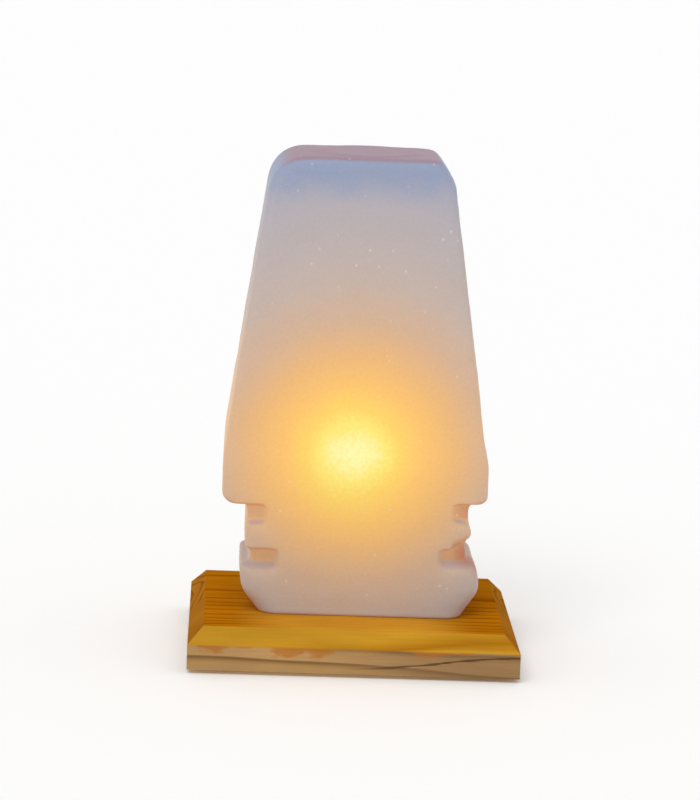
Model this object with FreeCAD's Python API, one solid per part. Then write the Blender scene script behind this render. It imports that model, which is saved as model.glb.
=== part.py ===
import FreeCAD, Part
import math
import os

from FreeCAD import Vector

# A salt crystal lamp: a carved block of salt on a bevelled wooden board, lit from inside its bore
# by a small candle bulb. The bulb's holder stands on a round plate under the board, and the two
# arms of a spring clip hold it in the bore.
#
# Millimetres. The lamp stands on z = 0, with the origin under the middle of the board. The front,
# which has the long side of the board, looks along -Y, and +X is to the right of it.

# Pads under the board
pad_radius = 8.0
pad_height = 2.0
pad_inset = 18.0                # from the board's edges to a pad's axis

# Board
board_width = 160.0
board_depth = 138.0
board_thickness = 20.0
bevel_run = 7.5                 # how far the bevel comes in from the edge
bevel_drop = 8.0                # how far it comes down from the top
board_hole_radius = 22.0
recess_radius = 30.0            # the turned recess under the board
ledge_thickness = 8.0           # wood left above the recess
groove_width = 9.0              # the cord's way out, from the recess to the back edge
groove_depth = 8.0

# Salt block, its overall sizes and its bore
block_height = 225.0
block_depth = 67.0
bore_radius = 22.0
bore_depth = 135.0
bore_end_rounding = 5.0

# Heights of the block's tiers above the board: the foot, the waist and the tall slab on them
left_foot_top = 24.5
right_foot_top = 27.5
left_waist_floor = 31.4
right_waist_floor = 34.0
left_slab_floor = 53.1
right_slab_floor = 56.5

# Reaches of the tiers, to each side of the bore's axis
left_notch_end = 37.7           # the lower notch cuts in to here
right_notch_end = 41.2
notch_depth = 8.0               # how far the lower notches cut in from the front and the back
groove_depth_below_waist = 3.0  # how far the groove between foot and waist goes in at the sides
left_upper_notch_end = 44.0
right_upper_notch_end = 46.6
upper_notch_height = 7.2        # between the waist's shoulders and the slab
upper_notch_depth = 6.0
left_neck_inset = 0.8           # from the waist's side in to the wall above its shoulder
right_neck_inset = 2.4
left_foot_base = 46.0           # where the foot meets the board
right_foot_base = 52.5
left_foot_reach = 57.6
right_foot_reach = 62.8
left_waist_reach = 54.6
right_waist_reach = 57.7
left_slab_reach = 66.3
right_slab_reach = 64.6
left_crown_reach = 46.6         # the slab's top corners
right_crown_reach = 42.4

# How the tiers' sides are shaped between their reaches
cheek_lap = 3.0                 # how far the side of a tier runs into its middle
left_foot_turn = 10.0           # where the foot's side turns upright, above the board
right_foot_turn = 13.5
left_foot_lean = 2.2            # how far it leans out from there up
right_foot_lean = 3.4           # how far it leans in from there up
right_waist_heel_run = 5.5      # slanted corner under the right side of the waist
right_waist_heel_rise = 3.0
right_waist_turn = 7.0          # where that side turns upright, above the waist's floor
right_waist_lean = 3.0
left_slab_heel_run = 4.0        # slanted corners under the slab
left_slab_heel_rise = 3.6
right_slab_heel_run = 3.0
right_slab_heel_rise = 2.4
left_slab_turn = 80.0           # where the slab's sides turn in, above the board
right_slab_turn = 76.0
right_slab_second_turn = 88.0
right_slab_turn_inset = 0.5
right_slab_second_inset = 3.0
right_crown_run = 8.0           # slanted corner at the right of the top
right_crown_drop = 12.0

# Roundings of the block's outline, seen from the front
left_foot_corner = 12.0
left_foot_top_corner = 3.0
right_foot_corner = 8.0
right_foot_top_corner = 4.0
waist_corner = 3.0
right_waist_top_corner = 5.0
slab_heel_corner = 2.5
left_slab_bend = 150.0
right_slab_bend = 15.0
left_crown_corner = 19.0
right_crown_top_corner = 4.0
right_crown_corner = 12.0

# Roundings of the block's edges, front and back
slab_rounding = 5.0
foot_rounding = 8.0
waist_rounding = 5.5

# Screws that hold the block on the board, each in a plug in the salt
screw_radius = 2.0
screw_length = 35.0
screw_head_radius = 3.8
screw_head_height = 2.6
screw_head_bevel = 1.0
cross_slot_length = 4.4
cross_slot_width = 1.0
cross_slot_depth = 1.3
screw_across = 72.0             # between the screws, side to side
screw_inset = 13.5              # from the block's front and back to the screws' axes
counterbore_radius = 6.0
counterbore_depth = 8.0
washer_radius = 5.0
washer_thickness = 1.0
plug_radius = 4.0
plug_length = 25.0

# Clip that holds the bulb's holder in the bore
plate_radius = 27.0
plate_thickness = 0.8
spring_width = 15.0
spring_thickness = 0.8
spring_foot = 16.0              # from the axis to the outside of an arm's foot
spring_bow_height = 22.0        # above the plate
spring_height = 34.0
spring_tip = 19.0               # from the axis to the outside of an arm's tip
spring_lip_run = 3.0            # the tip turned in over the holder
spring_lip_rise = 1.0
spring_foot_bend = 2.5
spring_bow_bend = 8.0
spring_tip_bend = 2.0

# Hollow nipple and its nut
nipple_radius = 5.0
nipple_bore = 4.0
nipple_overhang = 1.0           # below the nut
nut_across = 14.0
nut_sides = 6
nut_height = 3.0

# Bulb holder
holder_radius = 14.0
cup_wall = 1.6
cup_bevel = 2.0
cup_floor = 2.5
cup_height = 15.2
cup_boss_radius = 7.0
cup_boss_height = 8.0
spigot_height = 4.0
sleeve_wall = 1.3
sleeve_bevel = 1.2
sleeve_height = 32.0
sleeve_lip = 2.0
sleeve_mouth_radius = 8.9
shell_inner_radius = 7.2
shell_wall = 0.4
shell_height = 14.0
shell_recess = 1.0              # from the insert's top down to the shell's
shell_floor_hole = 5.0
contact_well_radius = 5.5
contact_well_depth = 4.0
contact_strip = 0.4
contact_width = 3.6
contact_rise = 2.7              # of the sprung end, above the well's floor
contact_reach = 3.7             # from the axis to each end of the leaf
contact_slope_run = 2.5
contact_tip = 2.6
contact_fold = 0.3
contact_crest = 0.8
terminal_thickness = 1.0
terminal_width = 9.0
terminal_outer_end = 9.5        # a plate's ends, from the axis
terminal_inner_end = 4.0
terminal_x = 6.5                # the terminal screws' places
terminal_y = -2.0
terminal_screw_radius = 1.25
terminal_screw_head = 2.4
terminal_screw_head_height = 1.8
terminal_screw_length = 6.0
terminal_slot_width = 0.7
terminal_slot_depth = 0.9
rivet_radius = 1.0
rivet_head_radius = 1.7
rivet_head_height = 0.6
shell_strip_thickness = 0.5
shell_strip_width = 3.0
shell_strip_y = 2.5

# Candle bulb with a small screw cap
cap_radius = 6.9
cap_wall = 0.3
cap_thread_height = 12.0
cap_skirt_radius = 8.5
cap_skirt_height = 7.0
cap_contact_radius = 2.4
cap_contact_height = 1.0
cap_contact_bevel_run = 0.8
cap_contact_bevel_rise = 0.6
cap_insulator_height = 4.5
insulator_rim = 0.4             # beyond the contact
insulator_lap = 1.5             # up inside the thread
skirt_flare = 1.0
cement_foot = 2.0               # from the skirt's bottom up to the cement
cement_rim = 0.5                # from the cement up to the skirt's top
glass_foot = 1.5                # from the skirt's bottom up to the glass
neck_radius = 7.0
neck_height = 9.0
glass_radius = 17.5
glass_wall = 0.7
belly_low = 48.0                # the widest part of the glass, above the cap's contact
belly_high = 58.0
belly_low_bend = 20.0
belly_high_bend = 30.0
tip_radius = 3.7
tip_bend = 3.0
bulb_length = 97.0
filament_height = 52.0          # above the cap's contact
filament_span = 15.0
filament_rise = 4.0
filament_radius = 0.4
filament_bend = 3.0
lead_radius = 0.35
lead_length_in_stem = 14.0
lead_straight = 1.0             # above the stem, before the lead bends out
lead_bend = 1.5
lead_spacing = 3.4              # where the two leads come out of the stem
support_radius = 0.2
support_spacing = 0.8
support_length_in_stem = 1.0
support_gap = 0.5               # from a support's end up to the filament
exhaust_radius = 1.2            # the sealed tube below the stem's flare
exhaust_foot = 3.0
flare_thickness = 1.0
flare_height = 7.0
stem_tip_bevel = 1.0
stem_radius = 2.8
stem_top_gap = 9.0              # from the stem's top up to the filament

# Clearances
fit = 0.05                      # between pieces that are pressed, screwed or glued together
running = 0.3                   # between pieces that move past each other

# Heights that the sizes above give
board_bottom = pad_height
board_top = board_bottom + board_thickness
ledge_bottom = board_top - ledge_thickness
plate_bottom = ledge_bottom - plate_thickness
cup_bottom = ledge_bottom + spring_thickness
shoulder = cup_bottom + cup_height
insert_bottom = shoulder + spigot_height
sleeve_top = shoulder + sleeve_height
insert_top = sleeve_top - sleeve_lip
shell_bottom = insert_top - shell_height - shell_recess
well_bottom = shell_bottom - contact_well_depth
contact_top = well_bottom + contact_rise
bulb_bottom = contact_top + running
cap_bottom = bulb_bottom + cap_contact_height
cap_thread_bottom = cap_bottom + cap_insulator_height
skirt_bottom = cap_thread_bottom + cap_thread_height
skirt_top = skirt_bottom + cap_skirt_height
bulb_top = bulb_bottom + bulb_length
glass_bottom = skirt_bottom + glass_foot
filament_level = bulb_bottom + filament_height
stem_top = filament_level - stem_top_gap

UP = Vector(0, 0, 1)
TINY = 1e-6


def save(name, shape):
    """Write one piece of the lamp to its own file."""
    solid = shape.Solids[0] if len(shape.Solids) == 1 else shape
    solid.exportStep(f"parts/{name}.step")


def cylinder(radius, bottom, top, x=0, y=0):
    return Part.makeCylinder(radius, top - bottom, Vector(x, y, bottom))


def tube(inner, outer, bottom, top):
    return cylinder(outer, bottom, top).cut(cylinder(inner, bottom, top))


def box(low, high):
    size = [h - l for l, h in zip(low, high)]
    return Part.makeBox(*size, Vector(*low))


def corner_ends(corners, index):
    """Start, middle and end of the rounding of one corner (x, z, radius) of an outline."""
    x, z, radius = corners[index]
    here = Vector(x, 0, z)
    if radius == 0:
        return here, here, here
    before = corners[index - 1]
    after = corners[(index + 1) % len(corners)]
    back = (Vector(before[0], 0, before[1]) - here).normalize()
    ahead = (Vector(after[0], 0, after[1]) - here).normalize()
    half = back.getAngle(ahead) / 2
    reach = radius / math.tan(half)
    inward = radius / math.sin(half) - radius
    return here + back * reach, here + (back + ahead).normalize() * inward, here + ahead * reach


def outline(corners, closed=True):
    """A wire in the XZ plane through corners (x, z, radius), each rounded by its radius."""
    ends = [corner_ends(corners, index) for index in range(len(corners))]
    edges = []
    for index, (start, middle, end) in enumerate(ends):
        if (start - end).Length > TINY:
            edges.append(Part.Arc(start, middle, end).toShape())
        if closed or index + 1 < len(corners):
            following = ends[(index + 1) % len(ends)][0]
            if (end - following).Length > TINY:
                edges.append(Part.LineSegment(end, following).toShape())
    return Part.Wire(edges)


def prism(corners, depth):
    """The outline made solid, half its depth to the front and half to the back."""
    face = Part.Face(outline(corners))
    return face.extrude(Vector(0, depth, 0)).translated(Vector(0, -depth / 2, 0))


def turned(corners):
    """The outline of (radius, z, rounding) corners, turned about the Z axis."""
    return Part.Face(outline(corners)).revolve(Vector(0, 0, 0), UP, 360)


def wire_rod(corners, radius):
    """A round wire bent through corners (x, z, bend radius) in the XZ plane."""
    path = outline(corners, closed=False)
    start = path.Edges[0]
    direction = start.tangentAt(start.FirstParameter)
    section = Part.Wire(Part.makeCircle(radius, start.valueAt(start.FirstParameter), direction))
    return path.makePipeShell([section], True, False)


def strip(corners, thickness, width):
    """A metal strip bent through corners of its outer side, its thickness laid on their left."""
    face = outline(corners, closed=False).makeOffset2D(thickness, 2, True, True, False)
    return face.extrude(Vector(0, width, 0)).translated(Vector(0, -width / 2, 0))


# Board and pads


def pad_places():
    x = board_width / 2 - pad_inset
    y = board_depth / 2 - pad_inset
    return {"front_left": (-x, -y), "front_right": (x, -y), "back_left": (-x, y), "back_right": (x, y)}


def screw_places():
    x = screw_across / 2
    y = block_depth / 2 - screw_inset
    return {"front_left": (-x, -y), "front_right": (x, -y), "back_left": (-x, y), "back_right": (x, y)}


def rectangle(width, depth, height):
    x = width / 2
    y = depth / 2
    corners = [Vector(-x, -y, height), Vector(x, -y, height), Vector(x, y, height), Vector(-x, y, height)]
    return Part.makePolygon(corners + corners[:1])


def make_board():
    bevel_bottom = board_top - bevel_drop
    x = board_width / 2
    y = board_depth / 2
    plank = box((-x, -y, board_bottom), (x, y, bevel_bottom))
    lower_rim = rectangle(board_width, board_depth, bevel_bottom)
    upper_rim = rectangle(board_width - 2 * bevel_run, board_depth - 2 * bevel_run, board_top)
    board = plank.fuse(Part.makeLoft([lower_rim, upper_rim], True, True)).removeSplitter()
    board = board.cut(cylinder(board_hole_radius, board_bottom, board_top))
    board = board.cut(cylinder(recess_radius, board_bottom, ledge_bottom))
    groove_top = board_bottom + groove_depth
    half = groove_width / 2
    board = board.cut(box((-half, 0, board_bottom), (half, y, groove_top)))
    seat = board_bottom + counterbore_depth
    for x, y in screw_places().values():
        board = board.cut(cylinder(counterbore_radius, board_bottom, seat, x, y))
        board = board.cut(cylinder(screw_radius + running, seat, board_top, x, y))
    return board


# Salt block


def outline_edges(shape, depth, wanted):
    """The edges of a prism's front and back outlines that the test takes."""
    found = []
    for edge in shape.Edges:
        bounds = edge.BoundBox
        if bounds.YLength < TINY and abs(abs(bounds.YMax) - depth / 2) < TINY and wanted(bounds):
            found.append(edge)
    return found


def cheek(corners, rounding):
    """One side of a tier, rounded at the front and back, but not where it stands or joins on."""
    solid = prism(corners, block_depth)
    floor = min(z for x, z, radius in corners)
    joined = corners[0][0]

    def free(bounds):
        stands = bounds.ZMax < floor + TINY
        joins = abs(bounds.XMin - joined) < TINY and bounds.XLength < TINY
        return not stands and not joins

    return solid.makeFillet(rounding, outline_edges(solid, block_depth, free))


def core(left, right, low, high):
    """The middle of a tier, as deep as the block."""
    return box((-left, -block_depth / 2, low), (right, block_depth / 2, high))


def make_foot():
    inner = -left_notch_end + cheek_lap
    left = cheek([
        (inner, 0, 0),
        (-left_foot_base, 0, 0),
        (-left_foot_reach + left_foot_lean, left_foot_turn, left_foot_corner),
        (-left_foot_reach, left_foot_top, left_foot_top_corner),
        (inner, left_foot_top, 0),
    ], foot_rounding)
    inner = right_notch_end - cheek_lap
    right = cheek([
        (inner, 0, 0),
        (right_foot_base, 0, 0),
        (right_foot_reach, right_foot_turn, right_foot_corner),
        (right_foot_reach - right_foot_lean, right_foot_top, right_foot_top_corner),
        (inner, right_foot_top, 0),
    ], foot_rounding)
    middle = core(left_notch_end, right_notch_end, 0, right_slab_floor + slab_rounding)
    web_y = block_depth / 2 - notch_depth
    web_left = left_waist_reach - groove_depth_below_waist
    web_right = right_waist_reach - groove_depth_below_waist
    web_top = right_waist_floor + right_waist_turn
    web = box((-web_left, -web_y, left_foot_top / 2), (web_right, web_y, web_top))
    return middle.fuse([left, right, web])


def neck(low_x, high_x, shoulder_z, slab_floor):
    """The wall behind an upper notch, from inside the waist's shoulder up into the slab."""
    half = block_depth / 2 - upper_notch_depth
    return box((low_x, -half, shoulder_z - cheek_lap), (high_x, half, slab_floor + cheek_lap))


def make_waist():
    inner = -left_upper_notch_end + cheek_lap
    shoulder_z = left_slab_floor - upper_notch_height
    left = cheek([
        (inner, left_waist_floor, 0),
        (-left_waist_reach, left_waist_floor, 0),
        (-left_waist_reach, shoulder_z, waist_corner),
        (inner, shoulder_z, 0),
    ], waist_rounding)
    left_neck = neck(-left_waist_reach + left_neck_inset, 0, shoulder_z, left_slab_floor)
    inner = right_upper_notch_end - cheek_lap
    shoulder_z = right_slab_floor - upper_notch_height
    right = cheek([
        (inner, right_waist_floor, 0),
        (right_waist_reach - right_waist_heel_run, right_waist_floor + right_waist_heel_rise, 0),
        (right_waist_reach, right_waist_floor + right_waist_turn, waist_corner),
        (right_waist_reach - right_waist_lean, shoulder_z, right_waist_top_corner),
        (inner, shoulder_z, 0),
    ], waist_rounding)
    right_neck = neck(0, right_waist_reach - right_neck_inset, shoulder_z, right_slab_floor)
    left_core = core(left_upper_notch_end, 0, left_waist_floor, right_slab_floor + slab_rounding)
    right_core = core(0, right_upper_notch_end, right_waist_floor, right_slab_floor + slab_rounding)
    return left_core.fuse([right_core, left, right, left_neck, right_neck])


def make_slab():
    corners = [
        (-left_notch_end, left_slab_floor, 0),
        (-left_slab_reach + left_slab_heel_run, left_slab_floor, 0),
        (-left_slab_reach, left_slab_floor + left_slab_heel_rise, slab_heel_corner),
        (-left_slab_reach, left_slab_turn, left_slab_bend),
        (-left_crown_reach, block_height, left_crown_corner),
        (right_crown_reach - right_crown_run, block_height, right_crown_top_corner),
        (right_crown_reach, block_height - right_crown_drop, right_crown_corner),
        (right_slab_reach - right_slab_second_inset, right_slab_second_turn, right_slab_bend),
        (right_slab_reach - right_slab_turn_inset, right_slab_turn, right_slab_bend),
        (right_slab_reach, right_slab_floor + right_slab_heel_rise, slab_heel_corner),
        (right_slab_reach - right_slab_heel_run, right_slab_floor, 0),
        (right_notch_end, right_slab_floor, 0),
    ]
    slab = prism(corners, block_depth)

    def above_floor(bounds):
        return bounds.ZMax > right_slab_floor + TINY

    return slab.makeFillet(slab_rounding, outline_edges(slab, block_depth, above_floor))


def make_block():
    block = make_foot().fuse([make_waist(), make_slab()]).removeSplitter()
    block = block.translated(Vector(0, 0, board_top))
    bore = cylinder(bore_radius, board_top, board_top + bore_depth)
    end_rim = [edge for edge in bore.Edges if edge.BoundBox.ZMin > board_top + TINY and edge.Closed]
    block = block.cut(bore.makeFillet(bore_end_rounding, end_rim[:1]))
    for x, y in screw_places().values():
        block = block.cut(cylinder(plug_radius + fit, board_top, board_top + plug_length + fit, x, y))
    return block


# Screws


def make_screw(x, y):
    seat = board_bottom + counterbore_depth - washer_thickness
    low = seat - screw_head_height
    tip = seat + screw_length
    shape = turned([
        (0, low, 0),
        (screw_head_radius - screw_head_bevel, low, 0),
        (screw_head_radius, low + screw_head_bevel, 0),
        (screw_head_radius, seat, 0),
        (screw_radius, seat, 0),
        (screw_radius, tip - 2 * screw_radius, 0),
        (0, tip, 0),
    ])
    reach = cross_slot_length / 2
    half = cross_slot_width / 2
    slot = box((-reach, -half, low), (reach, half, low + cross_slot_depth))
    shape = shape.cut(slot).cut(slot.rotated(Vector(0, 0, 0), UP, 90))
    return shape.translated(Vector(x, y, 0))


def make_washer(x, y):
    seat = board_bottom + counterbore_depth
    washer = tube(screw_radius + 2 * fit, washer_radius, seat - washer_thickness, seat)
    return washer.translated(Vector(x, y, 0))


def make_plug(x, y):
    plug = tube(screw_radius + fit, plug_radius, board_top, board_top + plug_length)
    return plug.translated(Vector(x, y, 0))


# Clip, nipple and nut


def make_clip_plate():
    return tube(nipple_radius + fit, plate_radius, plate_bottom, ledge_bottom)


def make_spring_clip():
    base = ledge_bottom
    bow = math.sqrt((bore_radius - running) ** 2 - (spring_width / 2) ** 2)
    arm = strip([
        (0, base, 0),
        (spring_foot, base, spring_foot_bend),
        (bow, base + spring_bow_height, spring_bow_bend),
        (spring_tip, base + spring_height, spring_tip_bend),
        (spring_tip - spring_lip_run, base + spring_height + spring_lip_rise, 0),
    ], spring_thickness, spring_width)
    other = arm.rotated(Vector(0, 0, 0), UP, 180)
    clip = arm.fuse(other).removeSplitter()
    return clip.cut(cylinder(nipple_radius + fit, base, base + spring_thickness))


def make_nipple():
    bottom = plate_bottom - nut_height - nipple_overhang
    return tube(nipple_bore, nipple_radius, bottom, cup_bottom + cup_boss_height)


def make_nipple_nut():
    step = 2 * math.pi / nut_sides
    corner_radius = nut_across / 2 / math.cos(step / 2)
    bottom = plate_bottom - nut_height
    corners = []
    for index in range(nut_sides + 1):
        x = corner_radius * math.cos(index * step)
        y = corner_radius * math.sin(index * step)
        corners.append(Vector(x, y, bottom))
    hexagon = Part.Face(Part.makePolygon(corners)).extrude(UP * nut_height)
    return hexagon.cut(cylinder(nipple_radius + fit, bottom, plate_bottom))


# Bulb holder


def make_holder_cup():
    inner = holder_radius - sleeve_wall - fit - cup_wall
    spigot = holder_radius - sleeve_wall - fit
    return turned([
        (nipple_radius + fit, cup_bottom, 0),
        (holder_radius - cup_bevel, cup_bottom, 0),
        (holder_radius, cup_bottom + cup_bevel, 0),
        (holder_radius, shoulder, 0),
        (spigot, shoulder, 0),
        (spigot, insert_bottom, 0),
        (inner, insert_bottom, 0),
        (inner, cup_bottom + cup_floor, 0),
        (cup_boss_radius, cup_bottom + cup_floor, 0),
        (cup_boss_radius, cup_bottom + cup_boss_height, 0),
        (nipple_radius + fit, cup_bottom + cup_boss_height, 0),
    ])


def make_holder_sleeve():
    inner = holder_radius - sleeve_wall
    return turned([
        (inner, shoulder, 0),
        (holder_radius, shoulder, 0),
        (holder_radius, sleeve_top - sleeve_bevel, 0),
        (holder_radius - sleeve_bevel, sleeve_top, 0),
        (sleeve_mouth_radius, sleeve_top, 0),
        (sleeve_mouth_radius, insert_top, 0),
        (inner, insert_top, 0),
    ])


def terminal_screw_places():
    return {"left": (-terminal_x, terminal_y), "right": (terminal_x, terminal_y)}


def shell_strip_box(clearance):
    """The strip that joins the right terminal to the screw shell, or the slot it goes through."""
    x = shell_strip_thickness / 2 + clearance
    y = shell_strip_width / 2 + clearance
    low = (terminal_x - x, shell_strip_y - y, insert_bottom)
    high = (terminal_x + x, shell_strip_y + y, shell_bottom)
    return box(low, high)


def make_holder_insert():
    outer = holder_radius - sleeve_wall - fit
    shell_outer = shell_inner_radius + shell_wall
    insert = turned([
        (0, insert_bottom, 0),
        (outer, insert_bottom, 0),
        (outer, insert_top, 0),
        (shell_outer + fit, insert_top, 0),
        (shell_outer + fit, shell_bottom, 0),
        (contact_well_radius, shell_bottom, 0),
        (contact_well_radius, well_bottom, 0),
        (0, well_bottom, 0),
    ])
    insert = insert.cut(cylinder(rivet_radius + fit, insert_bottom, well_bottom))
    insert = insert.cut(shell_strip_box(fit))
    for x, y in terminal_screw_places().values():
        hole_top = insert_bottom - terminal_thickness + terminal_screw_length + fit
        insert = insert.cut(cylinder(terminal_screw_radius + fit, insert_bottom, hole_top, x, y))
    return insert


def make_screw_shell():
    outer = shell_inner_radius + shell_wall
    return turned([
        (shell_floor_hole, shell_bottom, 0),
        (outer, shell_bottom, 0),
        (outer, shell_bottom + shell_height, 0),
        (shell_inner_radius, shell_bottom + shell_height, 0),
        (shell_inner_radius, shell_bottom + shell_wall, 0),
        (shell_floor_hole, shell_bottom + shell_wall, 0),
    ])


def make_centre_contact():
    low = well_bottom + contact_strip
    high = contact_top - contact_strip
    leaf = strip([
        (contact_reach, low, 0),
        (-contact_reach, low, contact_fold),
        (-contact_reach + contact_slope_run, high, contact_crest),
        (contact_tip, high, 0),
    ], contact_strip, contact_width)
    return leaf.cut(cylinder(rivet_radius + fit, well_bottom, well_bottom + contact_strip))


def make_terminal_plate(low_x, high_x, side):
    x, y = terminal_screw_places()[side]
    half = terminal_width / 2
    bottom = insert_bottom - terminal_thickness
    plate = box((low_x, -half, bottom), (high_x, half, insert_bottom))
    plate = plate.cut(cylinder(rivet_radius + fit, bottom, insert_bottom))
    return plate.cut(cylinder(terminal_screw_radius + fit, bottom, insert_bottom, x, y))


def make_terminal_screw(x, y):
    seat = insert_bottom - terminal_thickness
    screw = turned([
        (0, seat - terminal_screw_head_height, 0),
        (terminal_screw_head, seat - terminal_screw_head_height, 0),
        (terminal_screw_head, seat, 0),
        (terminal_screw_radius, seat, 0),
        (terminal_screw_radius, seat + terminal_screw_length, 0),
        (0, seat + terminal_screw_length, 0),
    ])
    low = seat - terminal_screw_head_height
    half = terminal_slot_width / 2
    high = low + terminal_slot_depth
    slot = box((-terminal_screw_head, -half, low), (terminal_screw_head, half, high))
    return screw.cut(slot).translated(Vector(x, y, 0))


def make_centre_rivet():
    shank_bottom = insert_bottom - terminal_thickness
    shank_top = well_bottom + contact_strip
    return turned([
        (0, shank_bottom - rivet_head_height, 0),
        (rivet_head_radius, shank_bottom - rivet_head_height, 0),
        (rivet_head_radius, shank_bottom, 0),
        (rivet_radius, shank_bottom, 0),
        (rivet_radius, shank_top, 0),
        (rivet_head_radius, shank_top, 0),
        (rivet_head_radius, shank_top + rivet_head_height, 0),
        (0, shank_top + rivet_head_height, 0),
    ])


# Bulb


def make_cap_contact():
    return turned([
        (0, bulb_bottom, 0),
        (cap_contact_radius - cap_contact_bevel_run, bulb_bottom, 0),
        (cap_contact_radius, bulb_bottom + cap_contact_bevel_rise, 0),
        (cap_contact_radius, cap_bottom, 0),
        (0, cap_bottom, 0),
    ])


def make_cap_insulator():
    outer = cap_radius - cap_wall - fit
    return turned([
        (0, cap_bottom, 0),
        (cap_contact_radius + insulator_rim, cap_bottom, 0),
        (outer, cap_thread_bottom, 0),
        (outer, cap_thread_bottom + insulator_lap, 0),
        (0, cap_thread_bottom + insulator_lap, 0),
    ])


def make_cap_shell():
    thread_inner = cap_radius - cap_wall
    skirt_inner = cap_skirt_radius - cap_wall
    return turned([
        (thread_inner, cap_thread_bottom, 0),
        (cap_radius, cap_thread_bottom, 0),
        (cap_radius, skirt_bottom, 0),
        (cap_skirt_radius, skirt_bottom + skirt_flare, 0),
        (cap_skirt_radius, skirt_top, 0),
        (skirt_inner, skirt_top, 0),
        (skirt_inner, skirt_bottom + skirt_flare + cap_wall, 0),
        (thread_inner, skirt_bottom + cap_wall, 0),
    ])


def make_capping_cement():
    inner = neck_radius + running
    outer = cap_skirt_radius - cap_wall - running
    return tube(inner, outer, skirt_bottom + cement_foot, skirt_top - cement_rim)


def glass_profile(inset):
    """Half of the envelope's outline, from its neck to its tip, drawn in by the inset."""
    corners = [
        (neck_radius - inset, glass_bottom, 0),
        (neck_radius - inset, glass_bottom + neck_height, 0),
        (glass_radius - inset, bulb_bottom + belly_low, belly_low_bend),
        (glass_radius - inset, bulb_bottom + belly_high, belly_high_bend),
        (tip_radius, bulb_top - inset, tip_bend),
        (0, bulb_top - inset, 0),
    ]
    return outline(corners, closed=False)


def make_bulb_glass():
    outer = glass_profile(0)
    inner = glass_profile(glass_wall)
    first_outer = outer.Vertexes[0].Point
    first_inner = inner.Vertexes[0].Point
    last_outer = outer.Vertexes[-1].Point
    last_inner = inner.Vertexes[-1].Point
    rim = Part.LineSegment(first_inner, first_outer).toShape()
    tip = Part.LineSegment(last_outer, last_inner).toShape()
    edges = Part.sortEdges(outer.Edges + inner.Edges + [rim, tip])[0]
    return Part.Face(Part.Wire(edges)).revolve(Vector(0, 0, 0), UP, 360)


def make_leads():
    """The two wires that carry the filament, up through the stem and out to its ends."""
    leads = {}
    for side, name in ((-1, "left"), (1, "right")):
        leads[name] = wire_rod([
            (side * lead_spacing / 2, stem_top - lead_length_in_stem, 0),
            (side * lead_spacing / 2, stem_top + lead_straight, lead_bend),
            (side * filament_span / 2, filament_level, 0),
        ], lead_radius)
    return leads


def make_stem(wires):
    flare_radius = neck_radius - glass_wall - fit
    exhaust_bottom = cap_thread_bottom + exhaust_foot
    stem = turned([
        (0, exhaust_bottom, 0),
        (exhaust_radius, exhaust_bottom, 0),
        (exhaust_radius, glass_bottom, 0),
        (flare_radius, glass_bottom, 0),
        (flare_radius, glass_bottom + flare_thickness, 0),
        (stem_radius, glass_bottom + flare_height, 0),
        (stem_radius, stem_top - stem_tip_bevel, 0),
        (stem_radius - stem_tip_bevel, stem_top, 0),
        (0, stem_top, 0),
    ])
    for wire in wires:
        stem = stem.cut(wire)
    return stem


def make_filament(leads):
    half = filament_span / 2
    filament = wire_rod([
        (-half, filament_level, 0),
        (-half / 2, filament_level + filament_rise, filament_bend),
        (half / 2, filament_level + filament_rise, filament_bend),
        (half, filament_level, 0),
    ], filament_radius)
    for lead in leads.values():
        filament = filament.cut(lead)
    return filament


def make_supports():
    top = filament_level + filament_rise - filament_radius
    supports = {}
    for side, name in ((-1, "left"), (1, "right")):
        supports[name] = wire_rod([
            (side * support_spacing / 2, stem_top - support_length_in_stem, 0),
            (side * filament_span / 4, top - support_gap, 0),
        ], support_radius)
    return supports


def main():
    os.makedirs("parts", exist_ok=True)
    save("board", make_board())
    save("salt_block", make_block())
    for place, (x, y) in pad_places().items():
        save(f"pad_{place}", cylinder(pad_radius, 0, pad_height, x, y))
    for place, (x, y) in screw_places().items():
        save(f"fixing_screw_{place}", make_screw(x, y))
        save(f"screw_washer_{place}", make_washer(x, y))
        save(f"salt_plug_{place}", make_plug(x, y))

    save("clip_plate", make_clip_plate())
    save("spring_clip", make_spring_clip())
    save("clip_nipple", make_nipple())
    save("nipple_nut", make_nipple_nut())
    save("holder_cup", make_holder_cup())
    save("holder_sleeve", make_holder_sleeve())
    save("holder_insert", make_holder_insert())
    save("screw_shell", make_screw_shell())
    save("centre_contact", make_centre_contact())
    save("centre_rivet", make_centre_rivet())
    save("shell_contact", shell_strip_box(0))
    left_plate = make_terminal_plate(-terminal_outer_end, rivet_head_radius, "left")
    right_plate = make_terminal_plate(terminal_inner_end, terminal_outer_end, "right")
    save("terminal_plate_left", left_plate)
    save("terminal_plate_right", right_plate)
    for side, (x, y) in terminal_screw_places().items():
        save(f"terminal_screw_{side}", make_terminal_screw(x, y))

    leads = make_leads()
    supports = make_supports()
    save("cap_contact", make_cap_contact())
    save("cap_insulator", make_cap_insulator())
    save("cap_shell", make_cap_shell())
    save("capping_cement", make_capping_cement())
    save("bulb_glass", make_bulb_glass())
    save("bulb_stem", make_stem([*leads.values(), *supports.values()]))
    save("filament", make_filament(leads))
    for side, lead in leads.items():
        save(f"lead_wire_{side}", lead)
    for side, support in supports.items():
        save(f"filament_support_{side}", support)


main()
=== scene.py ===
import math

import bpy
from mathutils import Matrix, Vector


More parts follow.
